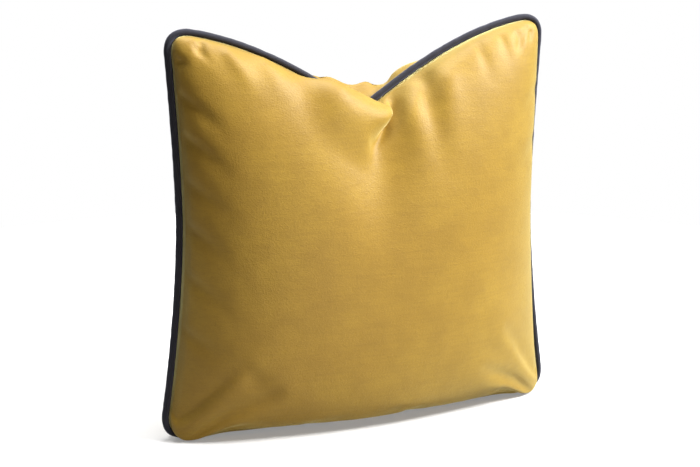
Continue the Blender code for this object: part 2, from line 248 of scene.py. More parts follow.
def panelGrid(side):
    # rows of points from the bottom edge up; side is -1 for the front
    n = cover["cells"]
    bottom, right, top, left = rimEdges(cover["rimInset"])
    s = np.linspace(0, 1, n + 1)
    u, v = np.meshgrid(spread(s), spread(s))
    flat = (1 - v)[..., None] * bottom[None] + v[..., None] * top[None]
    flat = flat + (1 - u)[..., None] * left[:, None] + u[..., None] * right[:, None]
    corners = (1 - v)[..., None] * ((1 - u)[..., None] * bottom[0] + u[..., None] * bottom[-1])
    corners = corners + v[..., None] * ((1 - u)[..., None] * top[0] + u[..., None] * top[-1])
    x, z = np.moveaxis(flat - corners, 2, 0)
    swell = (4 * np.sqrt(np.maximum(0, u * (1 - u) * v * (1 - v)))) ** cover["swellPower"]
    beside = bump(x, outline["chopOffset"], cover["chopWidth"])
    under = np.exp(-(1 - v) * outline["chopHeight"] / cover["chopFade"])
    out = cover["bulge"] * swell * (1 - cover["chopHollow"] * beside * under)
    z = np.maximum(cover["floor"], z - cover["baseSag"] * out * (1 - v) ** 2)
    zipSide = cover["zipRimOut"] if side > 0 else cover["rimOut"]
    opened = 1 - smooth((np.abs(x) - cover["zipEnd"]) / cover["zipTurn"])
    opened = opened * (1 - v) ** cover["zipFade"]
    rim = cover["rimOut"] + (zipSide - cover["rimOut"]) * opened
    points = np.stack([x, side * (out + rim), z], axis=2)
    return points, u, v


def simulated(points, side, u, v):
    # lets the velvet settle: its rest shape is a flat square, so the spare cloth folds
    n = cover["cells"]
    faces = gridFaces(n, n, flip=side > 0)
    obj = meshObject("settlingCloth", points.reshape(-1, 3), faces)
    obj.shape_key_add(name="Basis")
    rest = obj.shape_key_add(name="cutPiece")
    cut = np.stack([(u - 0.5) * cover["cutWidth"], np.full_like(u, side * 0.03),
                    v * cover["cutHeight"]], axis=2)
    rest.data.foreach_set("co", cut.reshape(-1))
    rest.value = 0
    pinned = obj.vertex_groups.new(name="seam")
    ring = [j * (n + 1) + i for j in range(n + 1) for i in range(n + 1)
            if i in (0, n) or j in (0, n)]
    pinned.add(ring, 1.0, "REPLACE")
    cloth = obj.modifiers.new("velvet", "CLOTH")
    settings = cloth.settings
    settings.rest_shape_key = rest
    settings.vertex_group_mass = "seam"
    settings.quality = settling["quality"]
    settings.mass = settling["mass"]
    settings.tension_stiffness = settings.compression_stiffness = settling["stretch"]
    settings.shear_stiffness = settling["shear"]
    settings.bending_stiffness = settling["bending"]
    settings.use_pressure = True
    settings.uniform_pressure_force = cover["pressure"]
    settings.effector_weights.gravity = 0
    cloth.collision_settings.use_collision = False
    cloth.point_cache.frame_start, cloth.point_cache.frame_end = 1, cover["frames"]
    for step in range(1, cover["frames"] + 1):
        scene.frame_set(step)
    settled = obj.evaluated_get(bpy.context.evaluated_depsgraph_get()).to_mesh()
    out = np.empty(len(settled.vertices) * 3)
    settled.vertices.foreach_get("co", out)
    scene.frame_set(1)
    mesh = obj.data
    bpy.data.objects.remove(obj)
    bpy.data.meshes.remove(mesh)
    move = out.reshape(points.shape) - points
    far = np.linalg.norm(move, axis=2, keepdims=True)
    move = move * np.minimum(1, cover["cap"] / np.maximum(far, 1e-9))
    return points + move


def rounded(points, times, keep):
    # evens the grid out a little, leaving its rim alone
    for _ in range(times):
        inner = (points[:-2, 1:-1] + points[2:, 1:-1] + points[1:-1, :-2] + points[1:-1, 2:]) / 4
        points[1:-1, 1:-1] = keep * points[1:-1, 1:-1] + (1 - keep) * inner
    return points


def normals(points, side):
    # outward normal at each point of a panel's grid
    across = np.gradient(points, axis=1)
    up = np.gradient(points, axis=0)
    normal = np.cross(up, across) * side
    return normal / np.maximum(np.linalg.norm(normal, axis=2, keepdims=True), 1e-12)


def refined(points):
    # twice as many cells each way, on smooth curves through the same points
    for _ in range(2):
        ends = np.concatenate([2 * points[:1] - points[1:2], points,
                               2 * points[-1:] - points[-2:-1]])
        between = (9 * (ends[1:-2] + ends[2:-1]) - ends[:-3] - ends[3:]) / 16
        finer = np.empty((2 * len(points) - 1, *points.shape[1:]))
        finer[::2], finer[1::2] = points, between
        points = finer.swapaxes(0, 1)
    return points


def toLine(x, z, line):
    # distance in metres from each (x, z) to a line given in millimetres, the share of the
    # line passed there, and 1 where the point is on its left, -1 where it is on its right
    best, hand, share = (np.full(x.shape, value) for value in (np.inf, 0.0, 0.0))
    pieces = len(line) - 1
    for k, ((ax, az), (bx, bz)) in enumerate(zip(line, line[1:])):
        ax, az, bx, bz = (value / 1000 for value in (ax, az, bx, bz))
        dx, dz = bx - ax, bz - az
        t = np.clip(((x - ax) * dx + (z - az) * dz) / (dx**2 + dz**2), 0, 1)
        far = np.hypot(x - ax - t * dx, z - az - t * dz)
        turn = np.sign(dx * (z - az) - dz * (x - ax))
        hand = np.where(far < best, turn, hand)
        share = np.where(far < best, (k + t) / pieces, share)
        best = np.minimum(best, far)
    return best, hand, share


# folds pressed into the panels after they have settled: points of a line (x, z), how
# far the cloth moves along its own normal, and the fold's half width on the left and on
# the right of the line as it is followed, all in millimetres
frontFolds = [
    ([(36, 348), (41, 322), (46, 298)], 2.2, 14, 13),  # ridge right of the chop
    ([(56, 384), (57, 352), (61, 318), (65, 280)], -3.6, 13, 10),
    ([(58, 384), (60, 352), (62, 334)], -1.4, 17, 9),
    ([(84, 368), (80, 342), (74, 312)], 2.0, 13, 13),
    ([(-178, 413), (-182, 399)], -2.6, 5, 5),
    ([(-202, 396), (-195, 390)], -2.2, 6, 6),
    ([(-152, 402), (-141, 385), (-133, 368)], 2.2, 9, 8),
    ([(-118, 402), (-109, 385), (-101, 366)], 2.2, 10, 9),
    ([(125, 400), (127, 388), (130, 370)], -1.7, 7, 6),
    ([(153, 408), (155, 396), (157, 380)], -1.5, 6, 6),
    ([(174, 412), (173, 402), (175, 390)], -1.2, 5, 6),
    ([(191, 414), (187, 404)], -1.6, 4, 4),
    ([(-202, 362), (-186, 348), (-168, 330)], -2.2, 6, 8),
    ([(-201, 322), (-186, 309), (-166, 290)], -2.6, 6, 8),
    ([(-200, 277), (-186, 264), (-166, 246)], -2.1, 6, 8),
    ([(-200, 232), (-188, 220), (-170, 202)], -2.4, 6, 8),
    ([(-202, 180), (-188, 167), (-168, 148)], -2.0, 6, 8),
    ([(-206, 122), (-192, 111), (-174, 97)], -1.9, 6, 8),
    ([(197, 352), (184, 341), (172, 322)], -1.0, 8, 8),
    ([(197, 300), (184, 286), (172, 268)], -1.0, 8, 8),
    ([(-150, 84), (-130, 58), (-112, 34)], -1.0, 10, 13),
]
backFolds = [
    ([(-38, 372), (-33, 345), (-27, 300)], -3.6, 12, 9),
    ([(30, 376), (37, 350), (43, 305), (45, 270)], -3.8, 10, 12),
    ([(24, 370), (15, 350), (9, 330)], -2.4, 7, 7),
    ([(-190, 412), (-168, 388), (-140, 360)], -2.6, 8, 9),
    ([(-146, 410), (-138, 385), (-127, 350)], -2.2, 9, 9),
    ([(-100, 396), (-95, 372), (-88, 340)], -1.8, 10, 10),
    ([(192, 416), (170, 390), (146, 362)], -2.6, 8, 9),
    ([(148, 412), (139, 384), (128, 352)], -2.2, 9, 9),
    ([(98, 400), (92, 375), (86, 345)], -1.8, 10, 10),
    ([(-202, 345), (-175, 330), (-140, 318)], -1.7, 8, 9),
    ([(-200, 272), (-172, 262), (-145, 256)], -1.5, 8, 9),
    ([(-202, 190), (-176, 190), (-150, 194)], -1.5, 8, 9),
    ([(-208, 120), (-182, 132), (-158, 148)], -1.7, 8, 9),
    ([(202, 330), (176, 318), (146, 308)], -1.7, 9, 8),
    ([(200, 250), (172, 246), (148, 246)], -1.5, 9, 8),
    ([(204, 165), (178, 170), (150, 180)], -1.5, 9, 8),
    ([(210, 100), (184, 116), (160, 134)], -1.7, 9, 8),
    ([(-180, 22), (-150, 58), (-118, 100)], -3.0, 12, 13),
    ([(-120, 14), (-106, 44), (-96, 80)], -1.8, 11, 11),
    ([(184, 22), (154, 56), (122, 98)], -3.0, 13, 12),
    ([(118, 14), (104, 42), (94, 76)], -1.8, 11, 11),
]

# each fold starts deep and narrow, and fades and widens along its line
foldShape = {
    "startWidth": 0.8,
    "widening": 0.5,
    "startDepth": 1.1,
    "fading": 0.8,
}


def folded(points, side, folds, free):
    f = foldShape
    x, z = points[..., 0].copy(), points[..., 2].copy()
    move = np.zeros_like(x)
    for line, amount, leftWidth, rightWidth in folds:
        far, hand, share = toLine(x, z, line)
        width = np.where(hand > 0, leftWidth, rightWidth) / 1000
        width = width * (f["startWidth"] + f["widening"] * share)
        depth = amount / 1000 * (f["startDepth"] - f["fading"] * share**2)
        move += depth * bump(far, 0.0, width)
    return points + normals(points, side) * (move * free)[..., None]


# the cloth beside the chop: distances across are from the cushion's middle, and those
# down are from the seam
chop = {
    "rollStart": 0.3,
    "rollEdge": 0.006,
    "rollDown": 0.012,
    "rollFade": 0.060,
    "lobeLeft": -0.085,  # where the front's lobe starts and ends, across
    "lobeFull": -0.030,
    "lobeEdge": 0.002,
    "lobeEnd": 0.022,
    "rise": 0.019,
    "riseAtEnd": 0.18,
    "riseFall": -0.022,
    "riseSlope": 0.036,
    "forward": 0.014,
    "lap": 0.017,
    "lapStart": -0.030,
    "lapSlope": 0.035,
    "lapBack": 0.026,  # how far the lap's edge falls back lower down
    "lapBackStart": 0.010,
    "lapBackSlope": 0.032,
    "pocket": 0.012,
    "pocketAcross": 0.031,
    "pocketWidth": 0.011,
    "pocketEdge": 0.004,
    "pocketDown": 0.016,
    "pocketFade": 0.030,
}

backLobe = {
    "rise": 0.026,
    "out": 0.006,
    "left": -0.075,
    "leftSlope": 0.05,
    "dip": 0.62,
    "dipStart": 0.006,
    "dipSlope": 0.03,
    "right": 0.050,
    "rightSlope": 0.045,
}


def step(x, start, slope):
    # rises smoothly from 0 at the start to 1 a slope further on
    return smooth((x - start) / slope)


def chopped(points, side, free):
    # beside the chop the cloth stands up as a lobe; the front's laps over to the right
    c, b = chop, backLobe
    x, z = points[..., 0].copy(), points[..., 2].copy()
    down = np.vectorize(topZ)(x) - z
    rolled = smooth(down / c["rollEdge"] + c["rollStart"])
    rolled = rolled * (1 - step(down, c["rollDown"], c["rollFade"])) * free
    if side > 0:
        lobe = rolled * step(x, b["left"], b["leftSlope"])
        lobe *= 1 - b["dip"] * step(x, b["dipStart"], b["dipSlope"])
        lobe *= 1 - step(x, b["right"], b["rightSlope"])
        points[..., 1] += b["out"] * lobe
        points[..., 2] += b["rise"] * lobe
        return points
    shifted = x + c["lapBack"] * step(down, c["lapBackStart"], c["lapBackSlope"])
    lobe = rolled * step(x, c["lobeLeft"], c["lobeFull"] - c["lobeLeft"])
    lobe *= 1 - step(shifted, c["lobeEdge"], c["lobeEnd"] - c["lobeEdge"])
    lower = 1 - (1 - c["riseAtEnd"]) * step(x, c["riseFall"], c["riseSlope"])
    points[..., 2] += c["rise"] * lobe * lower
    points[..., 1] -= c["forward"] * lobe
    points[..., 0] += c["lap"] * lobe * step(shifted, c["lapStart"], c["lapSlope"])
    pocket = bump(shifted, c["pocketAcross"], c["pocketWidth"]) * step(down, 0, c["pocketEdge"])
    pocket *= 1 - step(down, c["pocketDown"], c["pocketFade"])
    points[..., 1] += c["pocket"] * pocket * free
    return points


def liftedBelly(points, edge):
    x, z = np.abs(points[..., 0]), points[..., 2]
    low = np.exp(-z / belly["height"]) * (1 - step(x, belly["end"], belly["slope"]))
    points[..., 2] = z + belly["lift"] * low * smooth(edge / belly["free"])
    return points


def hollowed(points):
    t = tabHollow
    x, y, z = np.abs(points[..., 0]), points[..., 1], points[..., 2]
    room = smooth((t["depth"] - y) / t["depthSlope"]) * step(x, t["start"], t["startSlope"])
    room *= 1 - step(x, t["end"], t["endSlope"])
    points[..., 2] = z + np.maximum(0, t["height"] - z) * room
    return points


def makePanel(name, side, material):
    points, u, v = panelGrid(side)
    points = simulated(points, side, u, v)
    points = refined(points)
    settled = points.copy()
    u, v = refined(u), refined(v)
    edge = np.minimum(np.minimum(u, 1 - u), np.minimum(v, 1 - v))
    points = chopped(points, side, smooth(edge / cover["shapeFree"]))
    points = rounded(points, cover["evenings"], cover["evenKeep"])
    folds = frontFolds if side < 0 else backFolds
    points = folded(points, side, folds, smooth(edge / cover["foldFree"]))
    points = liftedBelly(points, edge) if side < 0 else hollowed(points)
    points[..., 2] = np.maximum(cover["floor"], points[..., 2])
    rows, columns = points.shape[0] - 1, points.shape[1] - 1
    obj = meshObject(name, points.reshape(-1, 3), gridFaces(columns, rows, flip=side > 0), material)
    fabric = obj.modifiers.new("fabric", "SOLIDIFY")
    fabric.thickness, fabric.offset = cover["fabric"], -1
    return obj, settled


insert = {
    "edgeCells": 9,
    "across": 0.935,  # its size as a share of the cover's
    "through": 0.86,
    "up": 0.915,
    "middleHeight": 0.20,
    "chopDepth": 0.020,
    "rimOut": 0.0009,
    "fabric": 0.0007,
    "fillShrink": 0.018,
}


def insideGrid(settled, side, shrink, rimOut):
    # the settled cover drawn towards the cushion's middle, without its outermost cells,
    # and closed towards y = 0
    k = insert["edgeCells"]
    inner = settled[k:-k, k:-k].copy()
    x, z = inner[..., 0], inner[..., 2]
    chopDepth = insert["chopDepth"] * bump(x, 0.012, 0.06) * bump(z, 0.345, 0.06)
    inner[..., 0] = x * (insert["across"] - shrink)
    inner[..., 1] = side * np.maximum(rimOut, side * inner[..., 1] * (insert["through"] - shrink)
                                      - chopDepth)
    middle = insert["middleHeight"]
    inner[..., 2] = middle + (z - middle) * (insert["up"] - shrink)
    inner[[0, -1], :, 1] = inner[:, [0, -1], 1] = side * rimOut
    return inner


def makeCase(name, settled, side, material):
    inner = insideGrid(settled, side, 0.0, insert["rimOut"])
    rows, columns = inner.shape[0] - 1, inner.shape[1] - 1
    obj = meshObject(name, inner.reshape(-1, 3), gridFaces(columns, rows, flip=side > 0), material)
    wall = obj.modifiers.new("fabric", "SOLIDIFY")
    wall.thickness, wall.offset = insert["fabric"], -1
    return obj


def makeFill(name, frontGrid, backGrid, material):
    bm = bmesh.new()
    for side, grid in ((-1, frontGrid), (1, backGrid)):
        inner = insideGrid(grid, side, insert["fillShrink"], 0.0)
        if side > 0:
            # both halves share one rim
            rim = insideGrid(frontGrid, -1, insert["fillShrink"], 0.0)
            for edge in (np.s_[0, :], np.s_[-1, :], np.s_[:, 0], np.s_[:, -1]):
                inner[edge] = rim[edge]
        rows, columns = inner.shape[0] - 1, inner.shape[1] - 1
        verts = [bm.verts.new(p) for p in inner.reshape(-1, 3)]
        for face in gridFaces(columns, rows, flip=side > 0):
            bm.faces.new([verts[k] for k in face])
    bmesh.ops.remove_doubles(bm, verts=bm.verts, dist=1e-6)
    bmesh.ops.recalc_face_normals(bm, faces=bm.faces)
    mesh = bpy.data.meshes.new(name)
    bm.to_mesh(mesh)
    bm.free()
    mesh.shade_smooth()
    mesh.materials.append(material)
    obj = bpy.data.objects.new(name, mesh)
    scene.collection.objects.link(obj)
    return obj


piping = {
    "radius": 0.00345,
    "flange": 0.0062,
    "fabric": 0.0006,
    "rings": 560,
    "sides": 18,
    "legOut": 0.0005,
    "unevenness": 0.00016,
    "waves": (23, 41, 67, 89, 113, 151),  # swellings in one round
    "seed": 7,
    "cordRadius": 0.0025,
    "cordSides": 18,
    "twists": 110,
}


def pipingLoop():
    # points along the seam, anticlockwise from the bottom left, and which way is out
    edges = outlineEdges()
    loop = np.vstack([edges[0][:-1], edges[1][:-1], edges[2][:0:-1], edges[3][:0:-1]])
    loop = np.vstack([loop, loop[:1]])
    loop = resampled(loop, np.linspace(0, 1, piping["rings"] + 1))[:-1]
    return loop, outward(loop)


def makeCord(material):
    # three strands twisted round each other
    loop, away = pipingLoop()
    rings, sides = piping["rings"], piping["cordSides"]
    angle = np.linspace(0, 2 * math.pi, sides, endpoint=False)
    points = []
    for ring in range(rings):
        twist = 2 * math.pi * piping["twists"] * ring / rings
        reach = piping["cordRadius"] * (0.95 + 0.05 * np.cos(3 * (angle - twist)))
        place = loop[ring] + away[ring] * (reach * np.cos(angle))[:, None]
        points.append(np.stack([place[:, 0], reach * np.sin(angle), place[:, 1]], axis=1))
    faces = [(a * sides + k, a * sides + (k + 1) % sides, b * sides + (k + 1) % sides,
              b * sides + k)
             for a, b in zip(range(rings), [*range(1, rings), 0]) for k in range(sides)]
    return meshObject("cottonCord", np.vstack(points), faces, material)


def makePiping(material):
    p = piping
    loop, away = pipingLoop()
    middle = p["radius"] - p["fabric"] / 2
    legOut = p["legOut"] + p["fabric"] / 2
    opening = math.asin(legOut / middle)
    turn = np.linspace(-math.pi + opening, math.pi - opening, p["sides"] + 1)
    legs = -np.array([middle + p["flange"], middle + p["flange"] / 2])
    across = np.concatenate([legs, middle * np.cos(turn), legs[::-1]])
    depth = np.concatenate([[-legOut] * 2, middle * np.sin(turn), [legOut] * 2])
    rng = np.random.default_rng(p["seed"])
    starts = rng.uniform(0, 2 * math.pi, len(p["waves"]))
    along = np.linspace(0, 2 * math.pi, p["rings"], endpoint=False)
    swell = sum(np.sin(k * along + start) for k, start in zip(p["waves"], starts)) / 3
    points = []
    for ring in range(p["rings"]):
        grow = np.where(np.hypot(across, depth) < p["radius"], p["unevenness"] * swell[ring], 0)
        scaled = 1 + grow / middle
        place = loop[ring] + away[ring] * (across * scaled)[:, None]
        points.append(np.stack([place[:, 0], depth * scaled, place[:, 1]], axis=1))
    count, sides = p["rings"], len(across)
    faces = [(a * sides + k, b * sides + k, b * sides + k + 1, a * sides + k + 1)
             for a, b in zip(range(count), [*range(1, count), 0]) for k in range(sides - 1)]
    obj = meshObject("pipingTube", np.vstack(points), faces, material)
    wall = obj.modifiers.new("fabric", "SOLIDIFY")
    wall.thickness, wall.offset = p["fabric"], 0
    return obj


def newMaterial(name, colour, roughness, **values):
    material = bpy.data.materials.new(name)
    material.use_nodes = True
    shader = material.node_tree.nodes["Principled BSDF"]
    shader.inputs["Base Color"].default_value = (*colour, 1)
    shader.inputs["Roughness"].default_value = roughness
    for key, value in values.items():
        shader.inputs[key].default_value = value
    return material, material.node_tree, shader


def newGroup(name, inputs, outputs):
    tree = bpy.data.node_groups.new(name, "ShaderNodeTree")
    for label, kind, value in inputs:
        socket = tree.interface.new_socket(label, in_out="INPUT", socket_type=kind)
        if value is not None:
            socket.default_value = value
    for label, kind in outputs:
        tree.interface.new_socket(label, in_out="OUTPUT", socket_type=kind)
    return tree, tree.nodes.new("NodeGroupInput"), tree.nodes.new("NodeGroupOutput")


def addNode(tree, kind, inputs=(), **settings):
    node = tree.nodes.new(kind)
    for key, value in settings.items():
        setattr(node, key, value)
    for key, value in dict(inputs).items():
        if isinstance(value, bpy.types.NodeSocket):
            tree.links.new(value, node.inputs[key])
        else:
            node.inputs[key].default_value = value
    return node


def mathNode(tree, operation, first, second=0.0, third=0.5, clamp=False):
    node = addNode(tree, "ShaderNodeMath", {0: first, 1: second, 2: third},
                   operation=operation, use_clamp=clamp)
    return node.outputs[0]


def makePatchGroup():
    # broad soft patches, from 0 to 1, such as a brushed nap or faded cloth
    tree, entry, result = newGroup("softPatches", [
        ("Vector", "NodeSocketVector", None), ("Scale", "NodeSocketFloat", 9.0),
        ("Low", "NodeSocketFloat", 0.35), ("High", "NodeSocketFloat", 0.65)],
        [("Mask", "NodeSocketFloat")])
    noise = addNode(tree, "ShaderNodeTexNoise", {"Vector": entry.outputs["Vector"],
                    "Scale": entry.outputs["Scale"], "Detail": 3.0, "Roughness": 0.55})
    spreadOut = addNode(tree, "ShaderNodeMapRange", {"Value": noise.outputs["Fac"],
                        "From Min": entry.outputs["Low"], "From Max": entry.outputs["High"]},
                        interpolation_type="SMOOTHSTEP")
    tree.links.new(spreadOut.outputs["Result"], result.inputs["Mask"])
    return tree


def makeWeaveGroup():
    # threads crossing over and under each other; Height for a bump, Thread as a mask
    tree, entry, result = newGroup("plainWeave", [
        ("Vector", "NodeSocketVector", None), ("Threads per metre", "NodeSocketFloat", 1500.0),
        ("Slub", "NodeSocketFloat", 0.15)],
        [("Height", "NodeSocketFloat"), ("Thread", "NodeSocketFloat")])
    slub = addNode(tree, "ShaderNodeTexNoise", {"Vector": entry.outputs["Vector"],
                   "Scale": 420.0, "Detail": 2.0})
    shift = addNode(tree, "ShaderNodeVectorMath", {0: slub.outputs["Color"],
                    "Scale": entry.outputs["Slub"]}, operation="SCALE")
    wide = addNode(tree, "ShaderNodeVectorMath", {0: entry.outputs["Vector"],
                   "Scale": entry.outputs["Threads per metre"]}, operation="SCALE")
    moved = addNode(tree, "ShaderNodeVectorMath", {0: wide.outputs[0], 1: shift.outputs[0]},
                    operation="ADD")
    split = addNode(tree, "ShaderNodeSeparateXYZ", {0: moved.outputs[0]})
    warp = mathNode(tree, "SINE", mathNode(tree, "MULTIPLY", split.outputs["X"], math.pi))
    weft = mathNode(tree, "SINE", mathNode(tree, "MULTIPLY", split.outputs["Z"], math.pi))
    crossing = mathNode(tree, "MULTIPLY", warp, weft)
    height = mathNode(tree, "MULTIPLY_ADD", crossing, 0.5, 0.5)
    thread = mathNode(tree, "MULTIPLY", mathNode(tree, "ABSOLUTE", warp),
                      mathNode(tree, "ABSOLUTE", weft))
    tree.links.new(height, result.inputs["Height"])
    tree.links.new(thread, result.inputs["Thread"])
    return tree


def makeFuzzGroup():
    # short fibres: a fine uneven height, drawn out along one direction
    tree, entry, result = newGroup("fineFuzz", [
        ("Vector", "NodeSocketVector", None), ("Stretch", "NodeSocketVector", (1, 1, 1)),
        ("Scale", "NodeSocketFloat", 1400.0)], [("Height", "NodeSocketFloat")])
    drawn = addNode(tree, "ShaderNodeVectorMath", {0: entry.outputs["Vector"],
                    1: entry.outputs["Stretch"]}, operation="MULTIPLY")
    noise = addNode(tree, "ShaderNodeTexNoise", {"Vector": drawn.outputs[0],
                    "Scale": entry.outputs["Scale"], "Detail": 2.5, "Roughness": 0.6})
    tree.links.new(noise.outputs["Fac"], result.inputs["Height"])
    return tree


softPatches, plainWeave, fineFuzz = makePatchGroup(), makeWeaveGroup(), makeFuzzGroup()


def placed(tree, group, **inputs):
    node = tree.nodes.new("ShaderNodeGroup")
    node.node_tree = group
    for key, value in inputs.items():
        key = key.replace("_", " ")
        if isinstance(value, bpy.types.NodeSocket):
            tree.links.new(value, node.inputs[key])
        else:
            node.inputs[key].default_value = value
    return node


def objectPlace(tree):
    return tree.nodes.new("ShaderNodeTexCoord").outputs["Object"]


def mixed(tree, mask, first, second):
    node = addNode(tree, "ShaderNodeMix", {0: mask}, data_type="RGBA")
    for key, value in ((6, first), (7, second)):
        if isinstance(value, bpy.types.NodeSocket):
            tree.links.new(value, node.inputs[key])
        else:
            node.inputs[key].default_value = (*value, 1)
    return node.outputs[2]


def bumped(tree, shader, height, strength, distance):
    node = addNode(tree, "ShaderNodeBump", {"Height": height, "Strength": strength,
                   "Distance": distance})
    tree.links.new(node.outputs["Normal"], shader.inputs["Normal"])


velvet = {
    "deep": (0.262, 0.136, 0.006),
    "middle": (0.390, 0.222, 0.014),
    "light": (0.430, 0.255, 0.019),
    "roughness": 0.53,
    "specular": 0.42,
    "sheen": 0.8,
    "sheenRoughness": 0.5,
    "sheenTint": (1.0, 0.93, 0.45, 1),
    "napScale": 7.0,
    "brushedScale": 38.0,
    "brushedShare": 0.30,
    "pileScale": 900.0,
    "pileDepth": 0.0006,
    "pileStrength": 0.55,
    "speckle": 1.6,
    "rowsPerMetre": 1100.0,
    "rowHeight": 0.10,
    "streakScale": 480.0,
    "streakShare": 0.9,
}


def makeVelvet():
    v = velvet
    material, tree, shader = newMaterial("velvetMustard", v["middle"], v["roughness"], **{
        "Sheen Weight": v["sheen"], "Sheen Roughness": v["sheenRoughness"],
        "Sheen Tint": v["sheenTint"], "Specular IOR Level": v["specular"]})
    place = objectPlace(tree)
    nap = placed(tree, softPatches, Vector=place, Scale=v["napScale"], Low=0.36, High=0.66)
    brushed = placed(tree, softPatches, Vector=place, Scale=v["brushedScale"], Low=0.30,
                     High=0.72).outputs["Mask"]
    pile = placed(tree, fineFuzz, Vector=place, Scale=v["pileScale"],
                  Stretch=(0.55, 1.0, 1.0)).outputs["Height"]
    rows = placed(tree, plainWeave, Vector=place, Threads_per_metre=v["rowsPerMetre"], Slub=0.6)
    colour = mixed(tree, nap.outputs["Mask"], v["middle"], v["light"])
    faint = mathNode(tree, "MULTIPLY", brushed, v["brushedShare"])
    colour = mixed(tree, faint, colour, v["deep"])
    tufts = mathNode(tree, "SUBTRACT", pile, 0.45, clamp=True)
    speckle = mathNode(tree, "MULTIPLY", tufts, v["speckle"], clamp=True)
    colour = mixed(tree, speckle, colour, v["deep"])
    # faint level streaks left by the loom
    streaks = placed(tree, fineFuzz, Vector=place, Scale=v["streakScale"],
                     Stretch=(0.05, 0.3, 1.0)).outputs["Height"]
    streaks = mathNode(tree, "SUBTRACT", streaks, 0.42, clamp=True)
    streaks = mathNode(tree, "MULTIPLY", streaks, v["streakShare"], clamp=True)
    colour = mixed(tree, streaks, colour, v["deep"])
    tree.links.new(colour, shader.inputs["Base Color"])
    rowHeight = mathNode(tree, "MULTIPLY", rows.outputs["Height"], v["rowHeight"])
    height = mathNode(tree, "ADD", pile, rowHeight)
    height = mathNode(tree, "ADD", height, mathNode(tree, "MULTIPLY", brushed, 0.5))
    bumped(tree, shader, height, v["pileStrength"], v["pileDepth"])
    return material


pipingCloth = {
    "dark": (0.010, 0.010, 0.017),
    "light": (0.023, 0.023, 0.036),
    "threads": 2300.0,
}


def makePipingCloth():
    p = pipingCloth
    material, tree, shader = newMaterial("pipingNavy", p["dark"], 0.78, **{
        "Sheen Weight": 0.45, "Sheen Roughness": 0.5, "Sheen Tint": (0.75, 0.78, 1.0, 1),
        "Specular IOR Level": 0.35})
    place = objectPlace(tree)
    # cut on the bias, so the threads run slantwise
    slanted = addNode(tree, "ShaderNodeMapping", {"Vector": place,
                      "Rotation": (0.6, math.radians(45), 0.35)}).outputs[0]
    weave = placed(tree, plainWeave, Vector=slanted, Threads_per_metre=p["threads"], Slub=0.3)
    patches = placed(tree, softPatches, Vector=place, Scale=60.0, Low=0.3, High=0.75)
    fuzz = placed(tree, fineFuzz, Vector=place, Scale=2600.0)
    amount = mathNode(tree, "MULTIPLY", weave.outputs["Thread"],
                      mathNode(tree, "MULTIPLY_ADD", patches.outputs["Mask"], 0.6, 0.35))
    tree.links.new(mixed(tree, amount, p["dark"], p["light"]), shader.inputs["Base Color"])
    height = mathNode(tree, "ADD", weave.outputs["Height"],
                      mathNode(tree, "MULTIPLY", fuzz.outputs["Height"], 0.5))
    bumped(tree, shader, height, 0.7, 0.00018)
    return material


def makeWovenCloth(name, dark, light, threads, roughness, depth, sheen=0.15):
    material, tree, shader = newMaterial(name, light, roughness, **{
        "Sheen Weight": sheen, "Sheen Roughness": 0.5, "Specular IOR Level": 0.25})
    place = objectPlace(tree)
    weave = placed(tree, plainWeave, Vector=place, Threads_per_metre=threads, Slub=0.35)
    patches = placed(tree, softPatches, Vector=place, Scale=16.0, Low=0.3, High=0.7)
    fuzz = placed(tree, fineFuzz, Vector=place, Scale=1800.0)
    worn = mixed(tree, mathNode(tree, "MULTIPLY", patches.outputs["Mask"], 0.35), light, dark)
    colour = mixed(tree, mathNode(tree, "MULTIPLY", weave.outputs["Thread"], 0.5), dark, worn)
    tree.links.new(colour, shader.inputs["Base Color"])
    height = mathNode(tree, "ADD", weave.outputs["Height"],
                      mathNode(tree, "MULTIPLY", fuzz.outputs["Height"], 0.4))
    bumped(tree, shader, height, 0.6, depth)
    return material


def makeMetal():
    # plated zinc, dulled where it has been handled
    material, tree, shader = newMaterial("zipNickel", (0.42, 0.41, 0.40), 0.32, Metallic=1.0)
    place = objectPlace(tree)
    patches = placed(tree, softPatches, Vector=place, Scale=420.0, Low=0.35, High=0.7)
    brushed = placed(tree, fineFuzz, Vector=place, Scale=2400.0, Stretch=(0.12, 1.0, 1.0))
    rough = addNode(tree, "ShaderNodeMapRange", {"Value": patches.outputs["Mask"],
                    "To Min": 0.24, "To Max": 0.46})
    tree.links.new(rough.outputs["Result"], shader.inputs["Roughness"])
    tree.links.new(mixed(tree, patches.outputs["Mask"], (0.44, 0.43, 0.42), (0.25, 0.24, 0.23)),
                   shader.inputs["Base Color"])
    bumped(tree, shader, brushed.outputs["Height"], 0.35, 0.00006)
    return material


velvetCloth = makeVelvet()
navyCloth = makePipingCloth()
caseCotton = makeWovenCloth("caseCotton", (0.52, 0.50, 0.46), (0.80, 0.78, 0.73), 1900.0,
                            0.88, 0.00018)
featherFill = makeWovenCloth("featherFill", (0.66, 0.63, 0.58), (0.86, 0.84, 0.80), 500.0,
                             0.95, 0.0006, sheen=0.3)
cordCotton = makeWovenCloth("cordCotton", (0.48, 0.45, 0.39), (0.74, 0.71, 0.64), 900.0,
                            0.9, 0.0003)
tapeCloth = makeWovenCloth("zipTapeCloth", (0.20, 0.10, 0.012), (0.42, 0.23, 0.030), 1700.0,
                           0.8, 0.0002)
labelSatin = makeWovenCloth("labelSatin", (0.70, 0.70, 0.68), (0.90, 0.90, 0.88), 3200.0,
                            0.42, 0.00006, sheen=0.0)
coilNylon = makeWovenCloth("coilNylon", (0.24, 0.125, 0.015), (0.38, 0.21, 0.030), 2600.0,
                           0.38, 0.00004, sheen=0.0)
zipNickel = makeMetal()
print("materials made")

